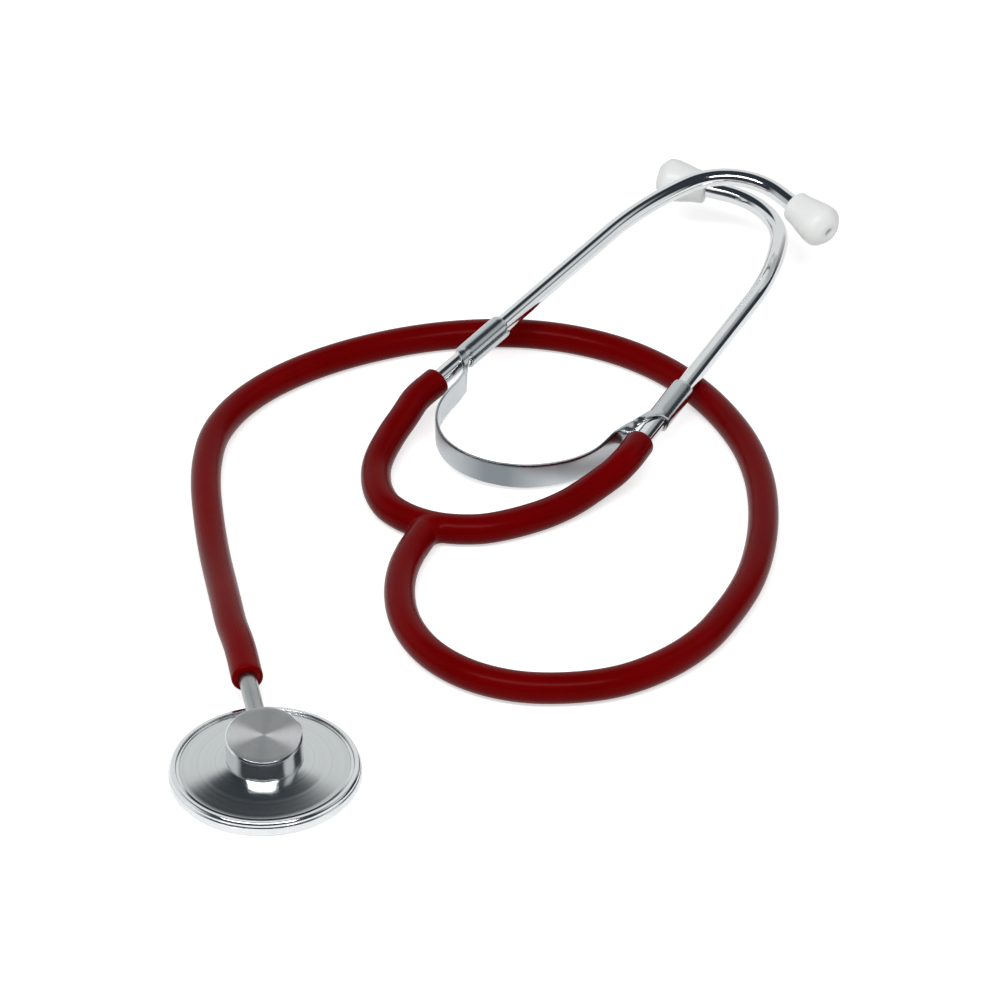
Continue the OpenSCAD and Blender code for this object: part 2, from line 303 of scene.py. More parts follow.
@dataclass(frozen=True)
class TurnedMetal(Finish):
    """Metal faced on a lathe: fine rings round the axis, with a few deeper ones."""

    colour: tuple = tone(0.66, 0.68, 0.68)
    dark: tuple = tone(0.60, 0.62, 0.62)
    pitch: float = 0.00022
    depth: float = 0.000001
    gloss: float = 0.12
    drawn_out: float = 0.35
    turned: float = 0.25

    def surface(self, shader: Shader) -> bpy.types.Node:
        """Principled metal with turned rings."""
        place = shader.place()
        across, back, high = shader.parts(place)
        radius = (across * across + back * back).root()
        wander = shader.noise(place, 700.0, 2.0)
        fine = (radius * (2 * math.pi / self.pitch) + 2.5 * wander).sine()
        flat = shader.node("ShaderNodeCombineXYZ", {}, {0: radius, 1: high}).outputs[0]
        coarse = shader.noise(flat, 1500.0, 3.0, 0.7)
        height = 0.35 * fine + 1.2 * coarse
        return shader.node(
            "ShaderNodeBsdfPrincipled",
            {},
            {
                "Base Color": shader.mix(coarse.step_from(0.3, 0.7), self.dark, self.colour),
                "Metallic": 1.0,
                "Roughness": self.gloss + 0.08 * coarse,
                "Anisotropic": self.drawn_out,
                "Anisotropic Rotation": self.turned,
                "Normal": shader.bump(height, self.depth),
            },
        )


@dataclass(frozen=True)
class BrushedSteel(Finish):
    """Nickel-coloured sheet with brush marks along it, and painted shade: a darker patch across the strip's
    middle standing in for a dark reflection.
    """

    colour: tuple = tone(0.60, 0.63, 0.65)
    brushed: tuple = tone(0.52, 0.55, 0.57)
    # Painted shade: a dark tone laid on a band across the strip's middle, bounded by these X and Y limits in
    # metres
    painted_shade_tone: tuple = tone(0.24, 0.27, 0.29)
    gloss: float = 0.17
    painted_shade_start: tuple[float, float] = (0.043, 0.054)
    painted_shade_end: tuple[float, float] = (0.06, 0.073)
    painted_shade_back: tuple[float, float] = (0.135, 0.142)

    def surface(self, shader: Shader) -> bpy.types.Node:
        """Principled brushed metal, with painted shade mixed into its base colour."""
        along = shader.place("UV")
        marks = shader.noise(shader.scaled(along, (9000.0, 120.0, 1.0)), 1.0, 3.0, 0.6)
        cloud = shader.noise(shader.place(), 110.0, 3.0)
        across, back, _ = shader.parts(shader.place())
        # Painted shade: darkens the colour on a band across the strip's middle, short of the back, standing
        # in for a dark reflection
        painted_shade_mask = across.step_from(*self.painted_shade_start) * (1.0 - across.step_from(*self.painted_shade_end))
        painted_shade_mask = painted_shade_mask * (1.0 - back.step_from(*self.painted_shade_back))
        return shader.node(
            "ShaderNodeBsdfPrincipled",
            {},
            {
                "Base Color": shader.mix(
                    painted_shade_mask * (0.5 + cloud).clamped(),
                    shader.mix(marks.step_from(0.3, 0.7), self.brushed, self.colour),
                    self.painted_shade_tone,
                ),
                "Metallic": 1.0,
                "Roughness": self.gloss + 0.12 * cloud * marks,
                "Normal": shader.bump(marks, 0.000004, 0.5),
            },
        )


@dataclass(frozen=True)
class MilkyPlastic(Finish):
    """Moulded translucent plastic, faintly cloudy."""

    colour: tuple = tone(0.92, 0.94, 0.93)

    def surface(self, shader: Shader) -> bpy.types.Node:
        """Principled plastic with light scattered inside it."""
        place = shader.place()
        cloud = shader.noise(place, 160.0, 3.0)
        peel = shader.noise(place, 900.0, 2.0)
        return shader.node(
            "ShaderNodeBsdfPrincipled",
            {},
            {
                "Base Color": shader.mix(cloud, self.colour, tone(0.81, 0.83, 0.81)),
                "Roughness": 0.3 + 0.1 * peel,
                "IOR": 1.47,
                "Subsurface Weight": 0.25,
                "Subsurface Radius": (1.0, 1.0, 1.0),
                "Subsurface Scale": 0.0015,
                "Normal": shader.bump(peel, 0.00002, 0.4),
            },
        )


@dataclass(frozen=True)
class GlassFibre(Finish):
    """Pale woven sheet set in resin, for the diaphragm."""

    thread: float = 0.0006

    def surface(self, shader: Shader) -> bpy.types.Node:
        """Principled resin over a plain weave."""
        across, back, _ = shader.parts(shader.place())
        turn = 2 * math.pi / self.thread
        weave = ((across * turn).sine() * (back * turn).sine()) * 0.5 + 0.5
        return shader.node(
            "ShaderNodeBsdfPrincipled",
            {},
            {
                "Base Color": shader.mix(weave, tone(0.62, 0.63, 0.58), tone(0.78, 0.79, 0.74)),
                "Roughness": 0.3 + 0.12 * weave,
                "Coat Weight": 0.4,
                "Normal": shader.bump(weave, 0.00002, 0.5),
            },
        )


RED_HOSE = RedHose("red_vinyl", Slot.HOSE)
CHROME = Chrome("chrome_plating", Slot.POLISHED)
RING_CHROME = Chrome("ring_plating", Slot.POLISHED, gloss=0.09)
DISH_METAL = TurnedMetal("turned_dish", Slot.SATIN)
# Painted highlight: the hub top's colours are set lighter than the dish's, a lit copy of the same metal
HUB_METAL = TurnedMetal(
    "turned_hub_top", Slot.SATIN, pitch=0.0003, depth=0.000002, gloss=0.36, drawn_out=0.85, turned=0.0,
    colour=tone(0.77, 0.78, 0.78), dark=tone(0.71, 0.72, 0.72),
)
HUB_WALL = Chrome("hub_wall_polish", Slot.SATIN, gloss=0.12)
STEM_METAL = Chrome(
    "stem_plating", Slot.POLISHED, colour=tone(0.42, 0.43, 0.43), worn=tone(0.36, 0.37, 0.37), gloss=0.24
)
SPRING_STEEL = BrushedSteel("brushed_spring", Slot.SPRING)
MILKY = MilkyPlastic("milky_plastic", Slot.EARTIP)
FIBRE = GlassFibre("glass_fibre_sheet", Slot.DIAPHRAGM)


# ---------------------------------------------------------------- shapes


class Line:
    """A centreline with an upright frame at each length along it."""

    def __init__(self, points: Sequence[Vector]) -> None:
        """Takes points that lie close together."""
        self.points = [Vector(p) for p in points]
        self.lengths = [0.0]
        for first, second in zip(self.points, self.points[1:]):
            self.lengths.append(self.lengths[-1] + (second - first).length)
        last = len(self.points) - 1
        self.headings = [
            (self.points[min(i + 1, last)] - self.points[max(i - 1, 0)]).normalized()
            for i in range(last + 1)
        ]

    @classmethod
    def through(cls, chosen: Sequence[Point], steps: int = 10) -> "Line":
        """A smooth line through chosen points.

        Args:
            chosen: Points in millimetres; the line's ends head straight to their neighbours.
            steps: Steps from each chosen point to the next.

        Returns:
            The line, in metres.
        """
        knots = [Vector(p) * MM for p in chosen]
        gaps = [(b - a).length for a, b in zip(knots, knots[1:])]
        slopes = [(b - a) / d for a, b, d in zip(knots, knots[1:], gaps)]
        headings = [slopes[0]]
        for i in range(1, len(knots) - 1):
            headings.append((slopes[i - 1] * gaps[i] + slopes[i] * gaps[i - 1]) / (gaps[i - 1] + gaps[i]))
        headings.append(slopes[-1])
        points = [knots[0]]
        for i, gap in enumerate(gaps):
            leave, arrive = headings[i] * gap, headings[i + 1] * gap
            for k in range(1, steps + 1):
                points.append(curve_point(knots[i], leave, knots[i + 1], arrive, k / steps))
        return cls(points)

    @property
    def length(self) -> float:
        """The whole length."""
        return self.lengths[-1]

    def at(self, along: float) -> tuple[Vector, Vector]:
        """The point and heading at a length; past an end the line runs on straight."""
        if along <= 0:
            return self.points[0] + self.headings[0] * along, self.headings[0]
        if along >= self.length:
            return self.points[-1] + self.headings[-1] * (along - self.length), self.headings[-1]
        low, high = 0, len(self.lengths) - 1
        while high - low > 1:
            middle = (low + high) // 2
            if self.lengths[middle] <= along:
                low = middle
            else:
                high = middle
        share = (along - self.lengths[low]) / (self.lengths[high] - self.lengths[low])
        point = self.points[low].lerp(self.points[high], share)
        return point, self.headings[low].lerp(self.headings[high], share).normalized()

    def frame(self, along: float) -> tuple[Vector, Vector, Vector, Vector]:
        """The point, heading, level side and upper side at a length."""
        point, heading = self.at(along)
        side = UP.cross(heading).normalized()
        return point, heading, side, heading.cross(side)

    def marks(self, start: float, end: float, spacing: float) -> list[float]:
        """Lengths from start to end, evenly spaced."""
        count = max(1, round(abs(end - start) / spacing))
        return [start + (end - start) * i / count for i in range(count + 1)]


def curve_point(a: Vector, leave: Vector, b: Vector, arrive: Vector, t: float) -> Vector:
    """A point on the curve from a, leaving along one vector, to b, arriving along another."""
    t2, t3 = t * t, t * t * t
    return (2 * t3 - 3 * t2 + 1) * a + (t3 - 2 * t2 + t) * leave + (3 * t2 - 2 * t3) * b + (t3 - t2) * arrive


def rounded(corners: Sequence[Corner], closed: bool = True, steps: int = 4) -> list[Station]:
    """Rounds a profile's corners.

    Args:
        corners: Two coordinates in millimetres, and the corner's radius.
        closed: Whether the last corner joins the first.
        steps: Steps round each corner.

    Returns:
        The profile's points, in metres.
    """
    made: list[Station] = []
    count = len(corners)
    for i, (x, y, radius) in enumerate(corners):
        here = Vector((x, y))
        if radius <= 0 or (not closed and i in (0, count - 1)):
            made.append((x * MM, y * MM))
            continue
        before = Vector(corners[i - 1][:2]) - here
        after = Vector(corners[(i + 1) % count][:2]) - here
        half = before.angle(after) / 2
        reach = min(radius / math.tan(half), 0.48 * before.length, 0.48 * after.length)
        start, end = here + before.normalized() * reach, here + after.normalized() * reach
        for k in range(steps + 1):
            t = k / steps
            point = (1 - t) ** 2 * start + 2 * t * (1 - t) * here + t * t * end
            made.append((point.x * MM, point.y * MM))
    return made


def to_object(
    name: str, mesh: bmesh.types.BMesh, finishes: Sequence[Finish], sharp: float = 40.0
) -> bpy.types.Object:
    """Makes an object of a closed mesh, smooth but for its sharp edges.

    Args:
        name: The piece's name.
        mesh: The mesh, which is freed.
        finishes: Its finishes, by material index.
        sharp: Angle in degrees past which an edge stays sharp.

    Returns:
        The object, with its place in its mesh.
    """
    bmesh.ops.recalc_face_normals(mesh, faces=mesh.faces)
    data = bpy.data.meshes.new(name)
    mesh.to_mesh(data)
    mesh.free()
    data.shade_smooth()
    data.set_sharp_from_angle(angle=math.radians(sharp))
    made = bpy.data.objects.new(name, data)
    bpy.context.scene.collection.objects.link(made)
    for finish in finishes:
        data.materials.append(finish.material())
    return made


def swept(line: Line, stations: Sequence[Station], sides: int, hollow: bool) -> bmesh.types.BMesh:
    """A round solid along a line.

    Args:
        line: The centreline.
        stations: Length along the line and radius, from the start round the outside to the end.
        sides: Faces round the piece.
        hollow: Whether the last station joins the first; else both ends close at a pole.

    Returns:
        The mesh, with UVs in metres round and along it.
    """
    mesh = bmesh.new()
    layer = mesh.loops.layers.uv.new("UVMap")
    widest = max(radius for _, radius in stations)
    rings = []
    for along, radius in stations:
        point, _, side, upper = line.frame(along)
        if radius < POLE:
            rings.append([mesh.verts.new(point)])
            continue
        ring = []
        for k in range(sides):
            angle = 2 * math.pi * k / sides
            ring.append(mesh.verts.new(point + radius * (math.cos(angle) * side + math.sin(angle) * upper)))
        rings.append(ring)
    pairs = list(range(len(rings) - 1))
    travel = [0.0]
    for (a0, r0), (a1, r1) in zip(stations, stations[1:]):
        travel.append(travel[-1] + math.hypot(a1 - a0, r1 - r0))
    if hollow:
        pairs.append(len(rings) - 1)
        travel.append(travel[-1])
    for i in pairs:
        first, second = rings[i], rings[(i + 1) % len(rings)]
        if len(first) == 1 and len(second) == 1:
            continue
        for k in range(sides):
            n = (k + 1) % sides
            corners = [(first, k, 0, 0), (first, n, 1, 0), (second, n, 1, 1), (second, k, 0, 1)]
            if len(first) == 1:
                corners = [corners[0], corners[2], corners[3]]
            elif len(second) == 1:
                corners = corners[:3]
            face = mesh.faces.new([ring[at % len(ring)] for ring, at, _, _ in corners])
            for loop, (_, _, turn, step) in zip(face.loops, corners):
                loop[layer].uv = ((k + turn) / sides * 2 * math.pi * widest, travel[i + step])
    return mesh


def lathed(
    profile: Sequence[Station], sides: int, place: Callable[[float, float, float], Vector], closed: bool
) -> bmesh.types.BMesh:
    """A turned solid.

    Args:
        profile: Radius and height, in metres.
        sides: Faces round the axis.
        place: Gives a vertex for a radius, an angle and a height.
        closed: Whether the last point joins the first; else both ends close at a pole.

    Returns:
        The mesh.
    """
    mesh = bmesh.new()
    rings = []
    for radius, high in profile:
        count = 1 if radius < POLE else sides
        rings.append([mesh.verts.new(place(radius, 2 * math.pi * k / sides, high)) for k in range(count)])
    for i in range(len(rings) - (0 if closed else 1)):
        first, second = rings[i], rings[(i + 1) % len(rings)]
        for k in range(sides):
            around = ((first, k), (first, k + 1), (second, k + 1), (second, k))
            corners = [ring[at % len(ring)] for ring, at in around]
            kept = [v for j, v in enumerate(corners) if v not in corners[:j]]
            if len(kept) > 2:
                mesh.faces.new(kept)
    return mesh


class SheetGrid:
    """A sheet built as a grid of vertices, each with its place on the sheet laid flat."""

    def __init__(self) -> None:
        """Starts with no vertices."""
        self.mesh = bmesh.new()
        self.layer = self.mesh.loops.layers.uv.new("UVMap")
        self.vertices: dict[tuple[int, int], bmesh.types.BMVert] = {}
        self.flat: dict[bmesh.types.BMVert, tuple[float, float]] = {}

    def put(self, column: int, row: int, place: Vector, flat: tuple[float, float]) -> None:
        """Adds a vertex.

        Args:
            column: Its column.
            row: Its row.
            place: Where it lies.
            flat: Where it lies on the flat sheet, in metres.
        """
        vertex = self.mesh.verts.new(place)
        self.vertices[column, row] = vertex
        self.flat[vertex] = flat

    def close(self) -> bmesh.types.BMesh:
        """Joins every four neighbours by a face.

        Returns:
            The mesh.
        """
        for k, j in list(self.vertices):
            corners = [self.vertices.get(at) for at in ((k, j), (k + 1, j), (k + 1, j + 1), (k, j + 1))]
            if None not in corners:
                face = self.mesh.faces.new(corners)
                for loop in face.loops:
                    loop[self.layer].uv = self.flat[loop.vert]
        return self.mesh


def upright(radius: float, angle: float, high: float) -> Vector:
    """A place round the chestpiece's axis."""
    return Vector((radius * math.cos(angle), radius * math.sin(angle), high))


def plain_copy(piece: bpy.types.Object) -> bpy.types.Object:
    """Puts the result of a piece's modifiers into its mesh and removes them."""
    bpy.context.view_layer.update()
    graph = bpy.context.evaluated_depsgraph_get()
    seen = piece.evaluated_get(graph)
    data = bpy.data.meshes.new_from_object(seen, preserve_all_data_layers=True, depsgraph=graph)
    old = piece.data
    piece.modifiers.clear()
    piece.data = data
    data.name = old.name
    bpy.data.meshes.remove(old)
    return piece


def cut_square(mesh: bmesh.types.BMesh, geometry: Sequence[Any], point: Vector, outward: Vector) -> None:
    """Cuts a closed mesh along a plane, drops what lies beyond it and closes the cut.

    Args:
        mesh: The mesh.
        geometry: The vertices, edges and faces that the cut may touch.
        point: A point on the plane.
        outward: The side that is dropped.
    """
    cut = bmesh.ops.bisect_plane(mesh, geom=geometry, plane_co=point, plane_no=outward, clear_outer=True)
    rim = [e for e in cut["geom_cut"] if isinstance(e, bmesh.types.BMEdge) and e.is_boundary]
    bmesh.ops.contextual_create(mesh, geom=rim)


def report(piece: bpy.types.Object) -> None:
    """Logs a finished piece."""
    log.info("%s: %d faces", piece.name, len(piece.data.polygons))


# ---------------------------------------------------------------- hoses

MAIN_POINTS: tuple[Point, ...] = (
    (-5.3, 27, 9.5), (-8.05, 41, 9.5), (-10.6, 51.6, 8.55), (-12.4, 61.8, 7.35), (-14.2, 72.4, 5.95),
    (-16.2, 83.9, 4.75), (-18, 95.5, 4.15), (-19.5, 107, 4.05), (-20.7, 119, 4.05), (-20.9, 131, 4.05),
    (-19.5, 143, 4.05), (-15.1, 154.6, 4.05), (-8, 165, 4.05), (1.1, 173.7, 4.05), (12.1, 181.2, 4.05),
    (24, 187, 4.05), (37, 191.3, 4.05), (51, 193.6, 4.05), (66, 193.4, 4.05), (80, 190.1, 4.05),
    (93, 183.8, 4.05), (104, 174.9, 4.05), (113.2, 163.4, 4.05), (120, 151, 4.05), (125.1, 137.1, 4.05),
    (127.8, 122.1, 4.05), (128.2, 107, 4.05), (126.7, 91.8, 4.05), (123.2, 76.7, 4.05), (117.4, 62.9, 4.05),
    (109.6, 49.8, 4.05), (100, 40.2, 4.05), (88, 33.2, 4.05), (75, 30.5, 4.05), (62, 31.2, 4.05),
    (50.5, 35.8, 4.05), (40.9, 44.3, 4.05), (34.7, 55.7, 4.05), (32.1, 69.5, 4.05), (33.15, 83.2, 4.05),
    (34.7, 88.95, 4.05),
)
LEFT_POINTS: tuple[Point, ...] = (
    (29.5, 108.1, 4.05), (28.5, 109.3, 4.05), (27.5, 111.2, 4.05), (26.5, 113.6, 4.05), (25.7, 116.3, 4.05),
    (25.1, 119.4, 4.05), (24.8, 122.8, 4.05), (24.8, 126.8, 4.25), (25.4, 130.6, 4.75), (26.5, 134.4, 5.35),
    (27.9, 138.1, 5.95), (29.5, 141.7, 6.75), (31.3, 145.1, 7.55), (33, 148.6, 8.3), (34.7, 152.1, 9.16),
    (41.09, 159.7, 10.96),
)
RIGHT_POINTS: tuple[Point, ...] = (
    (48.6, 99.2, 4.05), (51.5, 99.2, 4.05), (54.5, 99.6, 4.05), (58, 100.6, 4.05), (62, 102.1, 4.05),
    (66, 104, 4.05), (69.8, 106.1, 4.05), (73.3, 108.4, 4.15), (76.8, 110.9, 4.45), (80, 113.5, 4.95),
    (83.1, 116.1, 5.65), (85.8, 118.3, 6.45), (87.8, 119.9, 7.05), (89.9, 121.8, 7.95), (91.63, 123.77, 8.68),
    (96.03, 132.29, 9.16),
)


@dataclass
class Camera:
    """The camera, set well back and looking down at the object."""

    place: Point = (0.058144, -0.911563, 0.728795)
    tilt: float = 54.716
    lens: float = 169.2

    def build(self) -> None:
        """Makes the camera the scene's own."""
        data = bpy.data.cameras.new("camera")
        data.lens = self.lens
        data.sensor_width = 36.0
        data.clip_start, data.clip_end = 0.05, 10.0
        camera = bpy.data.objects.new("camera", data)
        camera.location = self.place
        camera.rotation_euler = (math.radians(self.tilt), 0.0, 0.0)
        bpy.context.scene.collection.objects.link(camera)
        bpy.context.scene.camera = camera


@dataclass
class Hoses:
    """The main hose, the two short hoses to the ear tubes and the moulding that joins them."""

    # Sizes in millimetres
    diameter: float = 8.1
    rim_round: float = 0.7
    stem_bore: float = 4.62
    ear_bore: float = 5.02
    bore_depth: float = 13.5
    ear_bore_depth: float = 9.5
    chamfer: float = 0.12
    short_of: float = 4.0
    tight_crotch: float = 0.9
    wide_crotch: float = 2.4
    # Lengths in metres
    spacing: float = 0.0018
    overlap: float = 0.004
    voxel: float = 0.00042
    trim_within: float = 0.0075
    # Shares and counts
    reach: float = 1.05
    sides: int = 48
    main: Line = field(default_factory=lambda: Line.through(MAIN_POINTS))
    left: Line = field(default_factory=lambda: Line.through(LEFT_POINTS))
    right: Line = field(default_factory=lambda: Line.through(RIGHT_POINTS))

    def stations(self, line: Line, bore: float, depth: float) -> list[Station]:
        """A hose that starts flat and ends in a rounded rim round a bored seat.

        Args:
            line: The hose's centreline.
            bore: Diameter of the seat in millimetres.
            depth: Depth of the seat in millimetres.

        Returns:
            Its stations.
        """
        radius = self.diameter / 2 * MM
        rim = self.rim_round * MM
        end = line.length
        made = [(0.0, 0.0), (0.0, radius * 0.9)]
        made += [(s, radius) for s in line.marks(0.0, end - rim, self.spacing)]
        for k in range(1, 5):
            angle = math.radians(90 * k / 4)
            made.append((end - rim + rim * math.sin(angle), radius - rim + rim * math.cos(angle)))
        inner = bore / 2 * MM
        chamfer = self.chamfer * MM
        made += [(end, inner + chamfer), (end - chamfer, inner)]
        made += [(s, inner) for s in line.marks(end - chamfer - 0.0005, end - depth * MM, self.spacing)]
        made.append((end - depth * MM, 0.0))
        return made

    def build(self) -> None:
        """Makes the hoses; the main one rides on the root body."""
        joint = self.joint()
        backward = Line(list(reversed(self.main.points)))
        stations = self.stations(backward, self.stem_bore, self.bore_depth)
        main = to_object("main_hose", swept(backward, stations, self.sides, False), [RED_HOSE])
        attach(main, Body.ROOT.value)
        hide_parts("main_tube")
        report(main)
        self.branch("left_hose", self.left, "left_branch")
        self.branch("right_hose", self.right, "right_branch")

    def branch(self, name: str, line: Line, node: str) -> None:
        """Makes one short hose.

        Args:
            name: The piece's name.
            line: Its centreline.
            node: The CAD node it stands for.
        """
        stations = self.stations(line, self.ear_bore, self.ear_bore_depth)
        piece = to_object(name, swept(line, stations, self.sides, False), [RED_HOSE])
        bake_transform(piece)
        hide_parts(node)
        report(piece)

    def joint(self) -> bpy.types.Object:
        """The moulding where the main hose meets the two short ones, as one skin round three arms.

        Returns:
            The piece.
        """
        radius = self.diameter / 2 * MM
        right, left, main = self.right.points[0], self.left.points[0], self.main.points[-1]
        right_in, left_in, main_in = -self.right.headings[0], -self.left.headings[0], self.main.headings[-1]
        reach = (right - left).length * self.reach
        through = [curve_point(right, right_in * reach, left, -left_in * reach, k / 16) for k in range(17)]
        middle = min(through, key=lambda p: (p - main).length)
        stop = middle + (main - middle).normalized() * self.short_of * MM
        arms = [
            [right - right_in * self.overlap, *through, left - left_in * self.overlap],
            [main - main_in * self.overlap, main, stop],
        ]
        mesh = bmesh.new()
        for arm in arms:
            line = Line(arm)
            tube = [(s, radius) for s in line.marks(0.0, line.length, 0.001)]
            solid = swept(line, [(0.0, 0.0), *tube, (line.length, 0.0)], 32, False)
            scrap = bpy.data.meshes.new("scrap")
            bmesh.ops.recalc_face_normals(solid, faces=solid.faces)
            solid.to_mesh(scrap)
            solid.free()
            mesh.from_mesh(scrap)
            bpy.data.meshes.remove(scrap)
        piece = to_object("hose_joint", mesh, [RED_HOSE])
        remesh = piece.modifiers.new("skin", "REMESH")
        remesh.mode = "VOXEL"
        remesh.voxel_size = self.voxel
        plain_copy(piece)
        self.settle(piece, arms, radius)
        self.trim(piece, [(right, right_in), (left, left_in), (main, main_in)])
        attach(piece, Body.ROOT.value)
        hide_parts("y_junction")
        report(piece)
        return piece

    def settle(self, piece: bpy.types.Object, arms: Sequence[Sequence[Vector]], radius: float) -> None:
        """Moves the skin's points onto a smooth surface round the arms.

        Args:
            piece: The joint.
            arms: The arms' centrelines.
            radius: Their outer radius.
        """
        middle = arms[0][len(arms[0]) // 2]

        def nearest(point: Vector, arm: Sequence[Vector]) -> tuple[float, Vector]:
            """Distance and direction from an arm's centreline."""
            best, away = 1e9, UP
            for a, b in zip(arm, arm[1:]):
                run = b - a
                share = min(1.0, max(0.0, (point - a).dot(run) / run.length_squared))
                gap = point - (a + run * share)
                if gap.length < best:
                    best, away = gap.length, gap
            return best - radius, away.normalized()

        for vertex in piece.data.vertices:
            rightness = min(1.0, max(0.0, 0.5 + (vertex.co.x - middle.x) / radius))
            nearness = min(1.0, max(0.0, 0.5 + (middle.y - vertex.co.y) / radius))
            blend = (self.tight_crotch + (self.wide_crotch - self.tight_crotch) * rightness * nearness) * MM
            for _ in range(3):
                (d0, n0), (d1, n1) = nearest(vertex.co, arms[0]), nearest(vertex.co, arms[1])
                share = min(1.0, max(0.0, 0.5 + 0.5 * (d1 - d0) / blend))
                gap = d1 + (d0 - d1) * share - blend * share * (1 - share)
                way = (n1.lerp(n0, share)).normalized()
                vertex.co -= way * gap
            vertex.co.z = max(vertex.co.z, 0.0)

    def trim(self, piece: bpy.types.Object, ends: Sequence[tuple[Vector, Vector]]) -> None:
        """Cuts the skin square at its three ends and closes it.

        Args:
            piece: The joint.
            ends: Each end's point and the direction into the joint.
        """
        mesh = bmesh.new()
        mesh.from_mesh(piece.data)
        for point, inward in ends:
            near = [f for f in mesh.faces if (f.calc_center_median() - point).length < self.trim_within]
            touched = dict.fromkeys(part for face in near for part in (*face.verts, *face.edges))
            cut_square(mesh, [*touched, *near], point, -inward)
        bmesh.ops.recalc_face_normals(mesh, faces=mesh.faces)
        layer = mesh.loops.layers.uv.new("UVMap")
        for face in mesh.faces:
            for loop in face.loops:
                loop[layer].uv = (loop.vert.co.z, loop.vert.co.x)
        mesh.to_mesh(piece.data)
        mesh.free()
        piece.data.shade_smooth()
        piece.data.set_sharp_from_angle(angle=math.radians(50))


# ---------------------------------------------------------------- chestpiece


